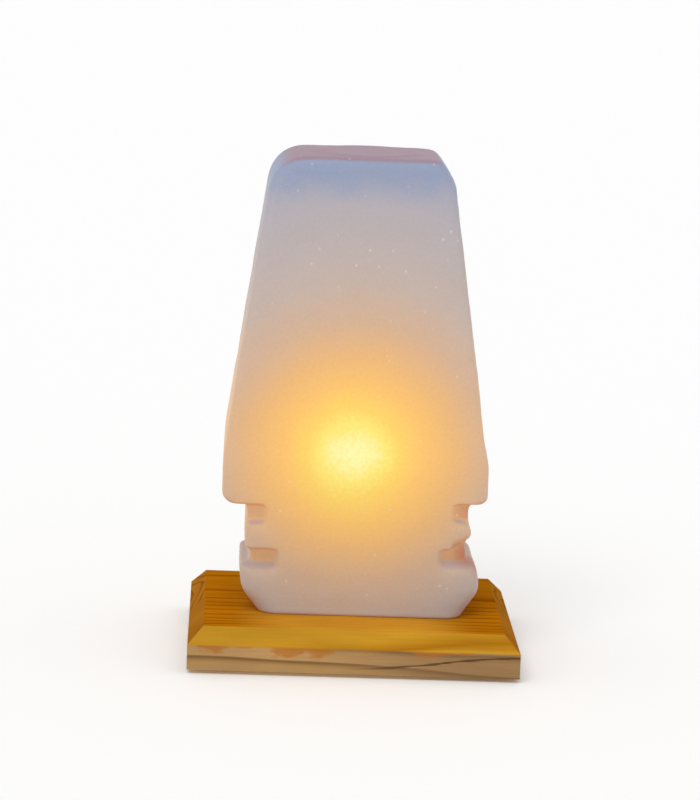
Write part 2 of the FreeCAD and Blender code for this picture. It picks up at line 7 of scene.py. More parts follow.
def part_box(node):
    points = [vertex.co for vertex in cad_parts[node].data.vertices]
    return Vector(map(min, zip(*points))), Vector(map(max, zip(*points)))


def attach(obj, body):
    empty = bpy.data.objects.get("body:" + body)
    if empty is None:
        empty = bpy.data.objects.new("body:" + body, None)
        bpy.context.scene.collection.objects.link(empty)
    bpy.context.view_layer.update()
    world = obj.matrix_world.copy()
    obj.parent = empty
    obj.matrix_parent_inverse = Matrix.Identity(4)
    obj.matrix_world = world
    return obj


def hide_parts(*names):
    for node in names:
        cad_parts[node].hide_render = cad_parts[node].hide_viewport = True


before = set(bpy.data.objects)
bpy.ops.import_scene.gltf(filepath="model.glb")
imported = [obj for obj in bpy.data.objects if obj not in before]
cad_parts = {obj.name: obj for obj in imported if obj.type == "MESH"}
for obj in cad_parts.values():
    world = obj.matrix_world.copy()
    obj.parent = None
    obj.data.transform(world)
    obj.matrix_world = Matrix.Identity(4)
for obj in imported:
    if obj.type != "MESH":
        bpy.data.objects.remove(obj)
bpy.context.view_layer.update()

# A salt crystal lamp: a carved block of rock salt on a bevelled pine board, lit from inside its bore by a
# candle bulb. Metres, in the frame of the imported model: +Z up, -Y to the front.

MM = 0.001
ONE_WAVE = 2 * math.pi / 20                 # the scale at which a wave texture has one wave to the metre

block_low, block_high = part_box("salt_block")
board_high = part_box("board")[1]
pad_low, pad_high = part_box("pad_front_left")
cap_low, cap_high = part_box("cap_shell")
shell_low, shell_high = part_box("screw_shell")
filament_low, filament_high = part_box("filament")

bore_radius = 22 * MM
bevel_height = 8 * MM
bevel_bottom = board_high.z - bevel_height
glow_centre = (-2 * MM, 0, filament_high.z + 2 * MM)        # where the lamplight seems to come from
thread_pitch = 2.822 * MM                                   # of the cap and its shell


# Tools for shapes


def clamp(value):
    """The value, kept between 0 and 1."""
    return min(1.0, max(0.0, value))


def deselect_all():
    """Leave nothing selected, because an operator acts on all that is."""
    for piece in bpy.context.selected_objects:
        piece.select_set(False)


def pick(piece):
    """Make this the one object that the next operators act on."""
    deselect_all()
    piece.select_set(True)
    bpy.context.view_layer.objects.active = piece


def name_piece(piece, name):
    """Give the piece and its mesh the same name."""
    piece.name = name
    piece.data.name = name
    return piece


def settle(piece):
    """Put the piece's place, turn and scale into its mesh, so that its object is at the origin."""
    pick(piece)
    bpy.ops.object.transform_apply(location=True, rotation=True, scale=True)
    return piece


def apply_modifier(piece, kind, **settings):
    """Add a modifier with these settings and apply it at once."""
    pick(piece)
    modifier = piece.modifiers.new(kind.lower(), kind)
    for setting, value in settings.items():
        setattr(modifier, setting, value)
    bpy.ops.object.modifier_apply(modifier=modifier.name)
    return piece


def soften(piece, width, segments=2, angle=35):
    """Round off the piece's edges, as sanding or a mould does."""
    return apply_modifier(
        piece, "BEVEL", width=width, segments=segments, limit_method="ANGLE",
        angle_limit=math.radians(angle), harden_normals=False)


def select_parts(piece, faces=None, edges=None):
    """Go to edit mode with only those faces, or edges, of the piece selected that the test takes."""
    pick(piece)
    bpy.ops.object.mode_set(mode="EDIT")
    bpy.ops.mesh.select_mode(type="EDGE" if edges else "FACE")
    bpy.ops.mesh.select_all(action="DESELECT")
    bpy.ops.object.mode_set(mode="OBJECT")
    for part in piece.data.edges if edges else piece.data.polygons:
        part.select = edges(part) if edges else faces(part)
    bpy.ops.object.mode_set(mode="EDIT")


def copy_to(piece, offset, name):
    """Another of the same piece, with its own mesh, moved by the offset."""
    other = piece.copy()
    other.data = piece.data.copy()
    bpy.context.scene.collection.objects.link(other)
    name_piece(other, name)
    other.location = offset
    return settle(other)


def smooth(piece, angle=40):
    """Shade the piece smoothly, apart from edges sharper than the angle."""
    pick(piece)
    bpy.ops.object.shade_smooth_by_angle(angle=math.radians(angle))
    return piece


def copy_of_node(node, name):
    """A copy of a CAD node's mesh with its triangles joined up into flat faces again."""
    same_corner = 0.002 * MM
    flat = math.radians(0.5)
    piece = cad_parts[node].copy()
    piece.data = piece.data.copy()
    piece.parent = None
    for key in list(piece.keys()):
        del piece[key]
    bpy.context.scene.collection.objects.link(piece)
    name_piece(piece, name)
    piece.data.materials.clear()
    pick(piece)
    bpy.ops.object.mode_set(mode="EDIT")
    bpy.ops.mesh.select_all(action="SELECT")
    bpy.ops.mesh.remove_doubles(threshold=same_corner)
    bpy.ops.mesh.dissolve_limited(angle_limit=flat)
    bpy.ops.object.mode_set(mode="OBJECT")
    return piece


def finish_piece(piece, material, body, nodes=()):
    """Give the piece its finish and its body, and let it stand for its CAD nodes."""
    piece.data.materials.clear()
    piece.data.materials.append(material)
    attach(piece, body)
    if nodes:
        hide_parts(*nodes)
    return piece


# Tools for materials


def linear(hex_colour):
    """An sRGB hex colour as the linear colour that a shader takes."""
    channels = [int(hex_colour[start:start + 2], 16) / 255 for start in (1, 3, 5)]
    return [c / 12.92 if c <= 0.04045 else ((c + 0.055) / 1.055) ** 2.4 for c in channels] + [1.0]


def new_material(name):
    material = bpy.data.materials.new(name)
    material.use_nodes = True
    material.node_tree.nodes.clear()
    return material


def add(material, kind, settings=None, links=None):
    """Add a node. Settings go to its properties, its colour ramp's stops or its sockets, and links join
    its sockets to another node's first output or to the output given."""
    node = material.node_tree.nodes.new(kind)
    for key, value in (settings or {}).items():
        if key == "stops":
            ramp = node.color_ramp.elements
            while len(ramp) < len(value):
                ramp.new(1.0)
            for element, (place, colour) in zip(ramp, value):
                element.position = place
                element.color = linear(colour) if isinstance(colour, str) else [colour] * 3 + [1.0]
        elif isinstance(key, str) and hasattr(node, key):
            setattr(node, key, value)
        else:
            node.inputs[key].default_value = value
    for key, source in (links or {}).items():
        output = source if isinstance(source, bpy.types.NodeSocket) else source.outputs[0]
        material.node_tree.links.new(output, node.inputs[key])
    return node


def surface(name, colours, patch, roughness, relief, settings, stretch=(1.0, 1.0, 1.0), pitch=None):
    """A finish whose colour wanders between two values over patches of this size, and its gloss in a finer
    grain that stands out by the relief. The pitch is that of a thread too small to be modelled."""
    finish = new_material(name)
    coordinates = add(finish, "ShaderNodeTexCoord").outputs["Object"]
    drawn = add(finish, "ShaderNodeMapping", {"Scale": stretch}, {"Vector": coordinates})
    patches = add(finish, "ShaderNodeTexNoise", {"Scale": 1 / patch, "Detail": 3.0}, {"Vector": drawn})
    grain = add(finish, "ShaderNodeTexNoise", {"Scale": 6 / patch, "Detail": 2.0}, {"Vector": drawn})
    colour = add(finish, "ShaderNodeValToRGB", {"stops": [(0.3, colours[0]), (0.7, colours[1])]},
                 {"Fac": patches.outputs["Fac"]})
    gloss = add(finish, "ShaderNodeMapRange", {"To Min": roughness[0], "To Max": roughness[1]},
                {"Value": grain.outputs["Fac"]})
    bump = add(finish, "ShaderNodeBump", {"Distance": relief, "Strength": 0.5},
               {"Height": grain.outputs["Fac"]})
    if pitch:
        thread = add(finish, "ShaderNodeTexWave", {
            "bands_direction": "Z", "Scale": ONE_WAVE / pitch}, {"Vector": coordinates})
        bump = add(finish, "ShaderNodeBump", {"Distance": pitch / 3, "Strength": 0.8},
                   {"Height": thread.outputs["Fac"], "Normal": bump})
    shader = add(finish, "ShaderNodeBsdfPrincipled", settings,
                 {"Base Color": colour, "Roughness": gloss, "Normal": bump})
    add(finish, "ShaderNodeOutputMaterial", {}, {"Surface": shader})
    return finish


def shine_through(salt, coordinates, clouds):
    """The colour of the lamplight that comes through the salt, and its share of what is seen. Both change
    with the way to the bulb, a little unevenly, as in clouded crystal."""
    nearest = 30 * MM
    farthest = 160 * MM
    cloud_shift = 7 * MM
    crystal_shift = 1.6 * MM
    crystal_size = 1.8 * MM
    usual_shift = 4.4 * MM                  # what the two patterns add on average
    distance = add(salt, "ShaderNodeVectorMath", {"operation": "DISTANCE", 1: glow_centre},
                   {0: coordinates}).outputs["Value"]
    crystals = add(salt, "ShaderNodeTexVoronoi", {"Scale": 1 / crystal_size}, {"Vector": coordinates})
    cloudy = add(salt, "ShaderNodeMath", {"operation": "MULTIPLY_ADD", 1: cloud_shift},
                 {0: clouds, 2: distance})
    uneven = add(salt, "ShaderNodeMath", {"operation": "MULTIPLY_ADD", 1: crystal_shift},
                 {0: crystals.outputs["Distance"], 2: cloudy})
    reach = add(salt, "ShaderNodeMapRange", {
        "From Min": nearest + usual_shift, "From Max": farthest + usual_shift}, {"Value": uneven})

    def at(millimetres):
        return (millimetres * MM - nearest) / (farthest - nearest)

    lit = add(salt, "ShaderNodeValToRGB", {"stops": [
        (at(32.5), "#fdfab4"),
        (at(36), "#fee876"),
        (at(40), "#fed365"),
        (at(47), "#fbc36b"),
        (at(58), "#ecb777"),
        (at(72), "#d5b091"),
        (at(92), "#c2b0a6"),
        (at(124), "#b4acb0"),
        (at(150), "#a3a5ba"),
    ]}, {"Fac": reach})
    share = add(salt, "ShaderNodeMapRange", {
        "interpolation_type": "SMOOTHSTEP", "From Min": 36 * MM, "From Max": 125 * MM,
        "To Min": 0.88, "To Max": 0.08}, {"Value": uneven})
    return lit, share


def cool_crown(salt, colour, place, clouds):
    """The crown turns blue where hardly any lamplight comes through, with an uneven lower edge."""
    edge = add(salt, "ShaderNodeMath", {"operation": "MULTIPLY_ADD", 1: 26 * MM},
               {0: clouds, 2: place.outputs["Z"]})
    crowned = add(salt, "ShaderNodeMapRange", {
        "interpolation_type": "SMOOTHSTEP", "From Min": block_high.z - 12 * MM,
        "From Max": block_high.z + 10 * MM, "To Max": 0.9}, {"Value": edge})
    return add(salt, "ShaderNodeMix", {"data_type": "RGBA", 7: linear("#8e9ab5")},
               {0: crowned, 6: colour}).outputs[2]


def paint_light_by_facing(salt, colour, place, facing):
    """Painted light: faces that look up are painted pinker, the more so near the top, as lit from above, and
    those that look down deep orange, as shade lit through from inside.
    """
    upward = add(salt, "ShaderNodeMapRange", {"From Min": 0.62, "From Max": 0.92, "To Max": 0.9},
                 {"Value": facing.outputs["Z"]})
    level = add(salt, "ShaderNodeMapRange", {
        "From Min": block_low.z + 20 * MM, "From Max": block_high.z - 60 * MM}, {"Value": place.outputs["Z"]})
    pink = add(salt, "ShaderNodeMix", {"data_type": "RGBA", 6: linear("#bea7a4"), 7: linear("#9b7e8a")},
               {0: level}).outputs[2]
    lit_from_above = add(salt, "ShaderNodeMix", {"data_type": "RGBA"}, {0: upward, 6: colour, 7: pink}).outputs[2]
    shaded_downward = add(salt, "ShaderNodeMapRange", {"From Min": -0.25, "From Max": -0.9, "To Max": 0.8},
                   {"Value": facing.outputs["Z"]})
    return add(salt, "ShaderNodeMix", {"data_type": "RGBA", 7: linear("#d08650")},
               {0: shaded_downward, 6: lit_from_above}).outputs[2]


def paint_notch_shade(salt, colour, place, facing):
    """Painted shade inside the notches: orange where the lamplight comes through a thinner wall, and redder at
    the right.
    """
    across = add(salt, "ShaderNodeMath", {"operation": "ABSOLUTE"}, {0: place.outputs["X"]})
    outwards = add(salt, "ShaderNodeMath", {"operation": "ABSOLUTE"}, {0: place.outputs["Y"]})
    fronting = add(salt, "ShaderNodeMath", {"operation": "ABSOLUTE"}, {0: facing.outputs["Y"]})
    notch = add(salt, "ShaderNodeMapRange", {
        "From Min": block_high.y - 4.4 * MM, "From Max": block_high.y - 5.4 * MM}, {"Value": outwards})
    beside_waist = add(salt, "ShaderNodeMapRange", {"From Min": 34 * MM, "From Max": 38 * MM},
                       {"Value": across})
    upright = add(salt, "ShaderNodeMapRange", {"From Min": 0.75, "From Max": 0.9}, {"Value": fronting})
    below_slab = add(salt, "ShaderNodeMapRange", {
        "From Min": block_low.z + 60 * MM, "From Max": block_low.z + 57 * MM}, {"Value": place.outputs["Z"]})
    for bound in (beside_waist, upright, below_slab):
        notch = add(salt, "ShaderNodeMath", {"operation": "MULTIPLY"}, {0: notch, 1: bound})
    right_end = add(salt, "ShaderNodeMapRange", {"From Min": 48 * MM, "From Max": 58 * MM},
                    {"Value": place.outputs["X"]})
    orange = add(salt, "ShaderNodeMix", {"data_type": "RGBA", 6: linear("#dfac7e"), 7: linear("#d08468")},
                 {0: right_end}).outputs[2]
    return add(salt, "ShaderNodeMix", {"data_type": "RGBA"}, {0: notch, 6: colour, 7: orange}).outputs[2]


def run_vein(salt, colour, coordinates):
    """A small rust red vein beside the right lower notch."""
    middle = (57 * MM, -20 * MM, 50 * MM)
    from_middle = add(salt, "ShaderNodeVectorMath", {"operation": "DISTANCE", 1: middle},
                      {0: coordinates}).outputs["Value"]
    vein = add(salt, "ShaderNodeMapRange", {
        "interpolation_type": "SMOOTHSTEP", "From Min": 14 * MM, "From Max": 4 * MM, "To Max": 0.7},
        {"Value": from_middle})
    return add(salt, "ShaderNodeMix", {"data_type": "RGBA", 7: linear("#b4694f")},
               {0: vein, 6: colour}).outputs[2]


def scatter_glinting_grains(salt, colour, coordinates):
    """Grains of clearer salt, about a millimetre across, in loose groups, painted pale as small glints of
    light.
    """
    grains = add(salt, "ShaderNodeTexVoronoi", {"Scale": 1 / (6 * MM)}, {"Vector": coordinates})
    grain = add(salt, "ShaderNodeMapRange", {"From Min": 0.15, "From Max": 0.06, "To Max": 0.4},
                {"Value": grains.outputs["Distance"]})
    groups = add(salt, "ShaderNodeTexNoise", {"Scale": 1 / (13 * MM)}, {"Vector": coordinates})
    grouped = add(salt, "ShaderNodeMapRange", {"From Min": 0.5, "From Max": 0.6}, {"Value": groups})
    shown = add(salt, "ShaderNodeMath", {"operation": "MULTIPLY"}, {0: grain, 1: grouped})
    return add(salt, "ShaderNodeMix", {"data_type": "RGBA", 7: linear("#f3d9c4")},
               {0: shown, 6: colour}).outputs[2]


def grind_skin(salt, coordinates, clouds, crystals):
    """Grinding leaves faint strokes along the block and a soft ripple, and the crystals stand out a little."""
    strokes = add(salt, "ShaderNodeMapping", {"Scale": (0.06, 0.06, 1.0)}, {"Vector": coordinates})
    ground = add(salt, "ShaderNodeTexNoise", {"Scale": 1 / (1.4 * MM), "Detail": 2.0}, {"Vector": strokes})
    ripple = add(salt, "ShaderNodeBump", {"Distance": 0.5 * MM, "Strength": 0.5}, {"Height": clouds})
    stroke = add(salt, "ShaderNodeBump", {"Distance": 0.16 * MM, "Strength": 0.45},
                 {"Height": ground, "Normal": ripple})
    return add(salt, "ShaderNodeBump", {"Distance": 0.15 * MM, "Strength": 0.4},
               {"Height": crystals, "Normal": stroke})


def rock_salt():
    """Pale pink rock salt, sawn, ground and rinsed: a waxy, cloudy skin with small crystals, lavender and
    grey where it's thick and far from the bulb, and amber to pale yellow where the light comes through."""
    salt = new_material("ground_rock_salt")
    coordinates = add(salt, "ShaderNodeTexCoord").outputs["Object"]
    place = add(salt, "ShaderNodeSeparateXYZ", {}, {0: coordinates})
    facing = add(salt, "ShaderNodeSeparateXYZ", {}, {0: add(salt, "ShaderNodeNewGeometry").outputs["Normal"]})
    clouds = add(salt, "ShaderNodeTexNoise", {"Scale": 1 / (26 * MM), "Detail": 3.0, "Roughness": 0.55},
                 {"Vector": coordinates})
    crystals = add(salt, "ShaderNodeTexNoise", {"Scale": 1 / (1.5 * MM), "Detail": 2.0},
                   {"Vector": coordinates})

    lit, share = shine_through(salt, coordinates, clouds)
    colour = cool_crown(salt, lit, place, clouds)
    # painted light and shade by the way each face looks
    colour = paint_light_by_facing(salt, colour, place, facing)
    # painted shade in the notches, with the lamplight showing orange
    colour = paint_notch_shade(salt, colour, place, facing)
    colour = run_vein(salt, colour, coordinates)
    # grains of clearer salt with painted glints
    colour = scatter_glinting_grains(salt, colour, coordinates)

    # Crystals and clouds vary the tone a little, and painted shade darkens it from the bulb's height down to
    # the foot
    fineness = add(salt, "ShaderNodeMapRange", {"To Min": 0.94, "To Max": 1.06}, {"Value": crystals})
    mottle = add(salt, "ShaderNodeMapRange", {"To Min": 0.96, "To Max": 1.04}, {"Value": clouds})
    variation = add(salt, "ShaderNodeMath", {"operation": "MULTIPLY"}, {0: fineness, 1: mottle})
    painted_foot_shade = add(salt, "ShaderNodeMapRange", {
        "From Min": block_low.z + 20 * MM, "From Max": glow_centre[2], "To Min": 0.86, "To Max": 1.0},
        {"Value": place.outputs["Z"]})
    tone = add(salt, "ShaderNodeMath", {"operation": "MULTIPLY"}, {0: variation, 1: painted_foot_shade})
    skin = add(salt, "ShaderNodeVectorMath", {"operation": "SCALE"}, {0: colour, "Scale": tone})

    # What shines through is emitted, and the rest is what the surface reflects
    rest = add(salt, "ShaderNodeMath", {"operation": "SUBTRACT", 0: 1.0}, {1: share})
    reflected = add(salt, "ShaderNodeVectorMath", {"operation": "SCALE"}, {0: skin, "Scale": rest})
    emitted = add(salt, "ShaderNodeVectorMath", {"operation": "SCALE"}, {0: skin, "Scale": share})

    skin_relief = grind_skin(salt, coordinates, clouds, crystals)
    wax = add(salt, "ShaderNodeMapRange", {"To Min": 0.5, "To Max": 0.68}, {"Value": clouds})
    shader = add(salt, "ShaderNodeBsdfPrincipled", {
        "IOR": 1.544, "Specular IOR Level": 0.3, "Subsurface Weight": 0.15, "Subsurface Scale": 6 * MM,
        "Subsurface Radius": (1.0, 0.6, 0.4), "Emission Strength": 1.0,
    }, {"Base Color": reflected, "Emission Color": emitted, "Roughness": wax, "Normal": skin_relief})
    add(salt, "ShaderNodeOutputMaterial", {}, {"Surface": shader})
    return salt


def grow_rings(pine, coordinates):
    """Growth rings round a heart below the board, drawn out along it and a little wavy. Late wood is 1."""
    ring_spacing = 4.6 * MM
    from_heart = add(pine, "ShaderNodeMapping", {"Location": (-20 * MM, -31 * MM, 58 * MM)},
                     {"Vector": coordinates})
    along = add(pine, "ShaderNodeMapping", {"Scale": (0.16, 1.0, 1.0)}, {"Vector": from_heart})
    rings = add(pine, "ShaderNodeTexWave", {
        "wave_type": "RINGS", "rings_direction": "X", "wave_profile": "SAW",
        "Scale": ONE_WAVE / ring_spacing, "Distortion": 9.0, "Detail": 2.0, "Detail Scale": 0.35,
        "Detail Roughness": 0.6}, {"Vector": along})
    return add(pine, "ShaderNodeValToRGB", {"stops": [
        (0.0, 0.05), (0.6, 0.2), (0.9, 1.0), (0.97, 0.6), (1.0, 0.05)]}, {"Fac": rings.outputs["Fac"]})


def tone_wood(pine, late_wood, early, middle, late):
    """A colour for early wood, one for late wood and one between them."""
    return add(pine, "ShaderNodeValToRGB", {"stops": [(0.0, early), (0.5, middle), (1.0, late)]},
               {"Fac": late_wood})


def leave_bare(pine, place, late_wood):
    """Bare wood, greyer to the right of the front."""
    bare = tone_wood(pine, late_wood, "#b79060", "#a37d4b", "#785939")
    greyed = add(pine, "ShaderNodeMapRange", {"From Min": -12 * MM, "From Max": 28 * MM, "To Max": 0.52},
                 {"Value": place.outputs["X"]})
    return add(pine, "ShaderNodeMix", {"data_type": "RGBA", 7: linear("#86684a")},
               {0: greyed, 6: bare}).outputs[2]


def stain(pine, place, facing, late_wood):
    """Honey brown stain, with painted light: one tone each on the top, the long bevels and the end bevels, as
    the light falls on them. The top is painted lighter beside the lit block, as a pool of its lamplight."""
    across = add(pine, "ShaderNodeMath", {"operation": "ABSOLUTE"}, {0: place.outputs["X"]})
    # Painted lamplight: a lighter pool on the top beside the lit block
    painted_lamplight_pool = add(pine, "ShaderNodeMapRange", {
        "interpolation_type": "SMOOTHSTEP", "From Min": 62 * MM, "From Max": 30 * MM, "To Max": 0.8},
        {"Value": across})
    stained = add(pine, "ShaderNodeMix", {"data_type": "RGBA", 7: linear("#cf9630")}, {
        0: painted_lamplight_pool, 6: tone_wood(pine, late_wood, "#b8730c", "#aa6404", "#925003")}).outputs[2]
    # Painted light: the long bevels and the end bevels each get their own tone of the stain, as the light
    # falls on them
    for direction, bevel in (
        ("Y", tone_wood(pine, late_wood, "#c2902a", "#b78220", "#a46c14")),
        ("X", tone_wood(pine, late_wood, "#ae7224", "#a06418", "#87500c")),
    ):
        turned = add(pine, "ShaderNodeMath", {"operation": "ABSOLUTE"}, {0: facing.outputs[direction]})
        on_bevel = add(pine, "ShaderNodeMapRange", {"From Min": 0.35, "From Max": 0.6}, {"Value": turned})
        stained = add(pine, "ShaderNodeMix", {"data_type": "RGBA"},
                      {0: on_bevel, 6: stained, 7: bevel}).outputs[2]
    return stained


def run_down(pine, bare, place, coordinates):
    """The stain runs down over the lower edge of the bevel in blotches."""
    stretched = add(pine, "ShaderNodeMapping", {"Scale": (0.45, 1.0, 1.0)}, {"Vector": coordinates})
    blots = add(pine, "ShaderNodeTexNoise", {"Scale": 1 / (8 * MM), "Detail": 4.0, "Roughness": 0.6},
                {"Vector": stretched})
    reach = 20 * MM
    dripping = add(pine, "ShaderNodeMath", {"operation": "MULTIPLY_ADD", 1: reach},
                   {0: blots, 2: place.outputs["Z"]})
    blotch = add(pine, "ShaderNodeMapRange", {
        "From Min": bevel_bottom + 8.2 * MM, "From Max": bevel_bottom + 10.2 * MM, "To Max": 0.75},
        {"Value": dripping})
    return add(pine, "ShaderNodeMix", {"data_type": "RGBA", 7: linear("#ab6a26")},
               {0: blotch, 6: bare}).outputs[2]


def crack_open(pine, place, facing, fibres):
    """The drying crack starts near the middle of the front, low down, and climbs to the right."""
    climb = add(pine, "ShaderNodeMapRange", {
        "interpolation_type": "SMOOTHSTEP", "From Min": -8 * MM, "From Max": 84 * MM, "To Min": 3.4 * MM,
        "To Max": 11.5 * MM}, {"Value": place.outputs["X"]})
    wander = add(pine, "ShaderNodeMath", {"operation": "MULTIPLY_ADD", 1: 1.6 * MM}, {0: fibres, 2: climb})
    off_line = add(pine, "ShaderNodeMath", {"operation": "SUBTRACT"}, {0: place.outputs["Z"], 1: wander})
    beside = add(pine, "ShaderNodeMath", {"operation": "ABSOLUTE"}, {0: off_line})
    crack = add(pine, "ShaderNodeMapRange", {"From Min": 0.6 * MM, "From Max": 0.15 * MM}, {"Value": beside})
    started = add(pine, "ShaderNodeMapRange", {"From Min": -6 * MM, "From Max": 25 * MM, "To Max": 0.9},
                  {"Value": place.outputs["X"]})
    front = add(pine, "ShaderNodeMapRange", {"From Min": -0.6, "From Max": -0.9},
                {"Value": facing.outputs["Y"]})
    for bound in (started, front):
        crack = add(pine, "ShaderNodeMath", {"operation": "MULTIPLY"}, {0: crack, 1: bound})
    return crack


def stained_pine():
    """A planed pine board, stained honey brown on its top and bevel and left bare on its sides: broad pale
    early wood between narrow brown late wood lines that run along the board, with the stain run over
    the lower edge of the bevel in blotches and one drying crack in the front."""
    pine = new_material("planed_and_stained_pine")
    coordinates = add(pine, "ShaderNodeTexCoord").outputs["Object"]
    place = add(pine, "ShaderNodeSeparateXYZ", {}, {0: coordinates})
    facing = add(pine, "ShaderNodeSeparateXYZ", {}, {0: add(pine, "ShaderNodeNewGeometry").outputs["Normal"]})
    late_wood = grow_rings(pine, coordinates)
    lengthwise = add(pine, "ShaderNodeMapping", {"Scale": (0.035, 1.0, 1.0)}, {"Vector": coordinates})
    fibres = add(pine, "ShaderNodeTexNoise", {"Scale": 1 / (0.9 * MM), "Detail": 3.0, "Roughness": 0.6},
                 {"Vector": lengthwise})
    drawn_out = add(pine, "ShaderNodeMapping", {"Scale": (0.35, 1.0, 1.0)}, {"Vector": coordinates})
    clouds = add(pine, "ShaderNodeTexNoise", {"Scale": 1 / (17 * MM), "Detail": 3.0}, {"Vector": drawn_out})

    # The stain, with its painted light, covers what looks up, and the crack runs through bare wood and
    # blotches alike
    covered = add(pine, "ShaderNodeMapRange", {
        "From Min": bevel_bottom - 0.2 * MM, "From Max": bevel_bottom + 0.3 * MM},
        {"Value": place.outputs["Z"]})
    blotched = run_down(pine, leave_bare(pine, place, late_wood), place, coordinates)
    coloured = add(pine, "ShaderNodeMix", {"data_type": "RGBA"}, {
        0: covered, 6: blotched, 7: stain(pine, place, facing, late_wood)}).outputs[2]
    crack = crack_open(pine, place, facing, fibres)
    cracked = add(pine, "ShaderNodeMix", {"data_type": "RGBA", 7: linear("#573f2a")},
                  {0: crack, 6: coloured}).outputs[2]

    fibre_tone = add(pine, "ShaderNodeMapRange", {"To Min": 0.84, "To Max": 1.14}, {"Value": fibres})
    cloud_tone = add(pine, "ShaderNodeMapRange", {
        "From Min": 0.25, "From Max": 0.75, "To Min": 0.86, "To Max": 1.14}, {"Value": clouds})
    tone = add(pine, "ShaderNodeMath", {"operation": "MULTIPLY"}, {0: fibre_tone, 1: cloud_tone})
    wood = add(pine, "ShaderNodeVectorMath", {"operation": "SCALE"}, {0: cracked, "Scale": tone})

    # The fibres and the hard late wood stand out, and the crack is sunk. The stain leaves a softer surface
    grain = add(pine, "ShaderNodeBump", {"Distance": 0.12 * MM, "Strength": 0.5}, {"Height": fibres})
    ridged = add(pine, "ShaderNodeBump", {"Distance": 0.12 * MM, "Strength": 0.4},
                 {"Height": late_wood, "Normal": grain})
    sunk = add(pine, "ShaderNodeBump", {"Distance": 0.6 * MM, "Strength": 0.8, "invert": True},
               {"Height": crack, "Normal": ridged})
    roughness = add(pine, "ShaderNodeMapRange", {"To Min": 0.75, "To Max": 0.55}, {"Value": covered})
    shader = add(pine, "ShaderNodeBsdfPrincipled", {"IOR": 1.5, "Specular IOR Level": 0.0}, {
        "Base Color": wood, "Roughness": roughness, "Normal": sunk})
    add(pine, "ShaderNodeOutputMaterial", {}, {"Surface": shader})
    return pine


# The block


def carve_block():
    """The salt block with its edges worn round and its faces ground a little uneven. Its bore and the face
    that stands on the board stay true."""
    grain = 1.25 * MM                       # the mesh's spacing
    fade = 4 * MM                           # over which the wear sets in
    bore_margin = 2 * MM
    crown_start = 45 * MM                   # below the top
    crown_fade = 15 * MM
    heel_start = 44 * MM                    # from the middle, to either end
    heel_height = 22 * MM
    block = copy_of_node("salt_block", "carved_salt_block")
    apply_modifier(block, "REMESH", mode="VOXEL", voxel_size=grain, adaptivity=0.0)
    worn = block.vertex_groups.new(name="worn")
    for vertex in block.data.vertices:
        from_axis = math.hypot(vertex.co.x, vertex.co.y)
        outside = clamp((from_axis - bore_radius - bore_margin) / fade)
        above_board = clamp((vertex.co.z - block_low.z) / fade)
        worn.add([vertex.index], outside * above_board, "REPLACE")
    apply_modifier(block, "SMOOTH", factor=0.5, iterations=8, vertex_group="worn")

    # The crown and the foot's ends are worn rounder than the rest
    rounded = block.vertex_groups.new(name="rounded")
    for vertex in block.data.vertices:
        height = vertex.co.z - block_low.z
        crown = (vertex.co.z - block_high.z + crown_start) / crown_fade
        heel = min(abs(vertex.co.x) - heel_start, heel_height - height, height) / fade
        rounded.add([vertex.index], clamp(max(crown, heel)), "REPLACE")
    apply_modifier(block, "SMOOTH", factor=0.5, iterations=36, vertex_group="rounded")

    # Broad hollows and finer marks from grinding, mostly inwards, so that the block never grows
    for name, size, depth in (("hollows", 34 * MM, 1.1 * MM), ("grinding", 9 * MM, 0.3 * MM)):
        texture = bpy.data.textures.new(name, "CLOUDS")
        texture.noise_scale = size
        apply_modifier(block, "DISPLACE", texture=texture, texture_coords="LOCAL", strength=depth,
                       mid_level=0.9, vertex_group="worn")
    smooth(block, 60)
    return finish_piece(block, rock_salt(), "lamp", ["salt_block"])


def sand_board():
    """The board, with its edges broken by sandpaper."""
    edge_width = 0.7 * MM
    board = copy_of_node("board", "bevelled_board")
    soften(board, edge_width, segments=3, angle=30)
    smooth(board, 30)
    return finish_piece(board, stained_pine(), "lamp", ["board"])


def mould_pads(rubber):
    """Four rubber pads with rounded rims, each dished below so that only its rim stands on the table."""
    rim_width = 2.0 * MM
    dish_slope = 0.6 * MM
    dish_depth = 0.5 * MM
    edge_width = 0.4 * MM
    bpy.ops.mesh.primitive_cylinder_add(
        vertices=64, radius=(pad_high.x - pad_low.x) / 2, depth=pad_high.z - pad_low.z,
        location=(pad_low + pad_high) / 2)
    pad = settle(name_piece(bpy.context.object, "rubber_pad_front_left"))
    select_parts(pad, faces=lambda face: face.normal.z < -0.9)
    bpy.ops.mesh.inset(thickness=rim_width)
    bpy.ops.mesh.inset(thickness=dish_slope, depth=-dish_depth)
    bpy.ops.object.mode_set(mode="OBJECT")
    soften(pad, edge_width, segments=3)
    smooth(pad)
    for place in ("front_right", "back_left", "back_right"):
        other = copy_to(pad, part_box(f"pad_{place}")[0] - pad_low, f"rubber_pad_{place}")
        finish_piece(other, rubber, "lamp", [f"pad_{place}"])
    finish_piece(pad, rubber, "lamp", ["pad_front_left"])


# The holder and the bulb


def tube_wall(name, radius, low, high, rings):
    """An open tube round the axis, with rings for a thread to be pressed into."""
    bpy.ops.mesh.primitive_cylinder_add(
        vertices=96, radius=radius, depth=high - low, end_fill_type="NOTHING",
        location=(0, 0, (low + high) / 2))
    wall = settle(name_piece(bpy.context.object, name))
    corners = wall.data.vertices

    def upright(edge):
        start, end = edge.vertices
        return abs(corners[start].co.z - corners[end].co.z) > (high - low) / 2

    select_parts(wall, edges=upright)
    bpy.ops.mesh.subdivide(number_cuts=rings)
    bpy.ops.object.mode_set(mode="OBJECT")
    return wall


def select_rim(wall, height):
    """Select the edges of an open tube's rim at this height, in edit mode."""
    corners = wall.data.vertices
    nearly_none = 0.001 * MM

    def on_rim(edge):
        return all(abs(corners[index].co.z - height) < nearly_none for index in edge.vertices)

    select_parts(wall, edges=on_rim)


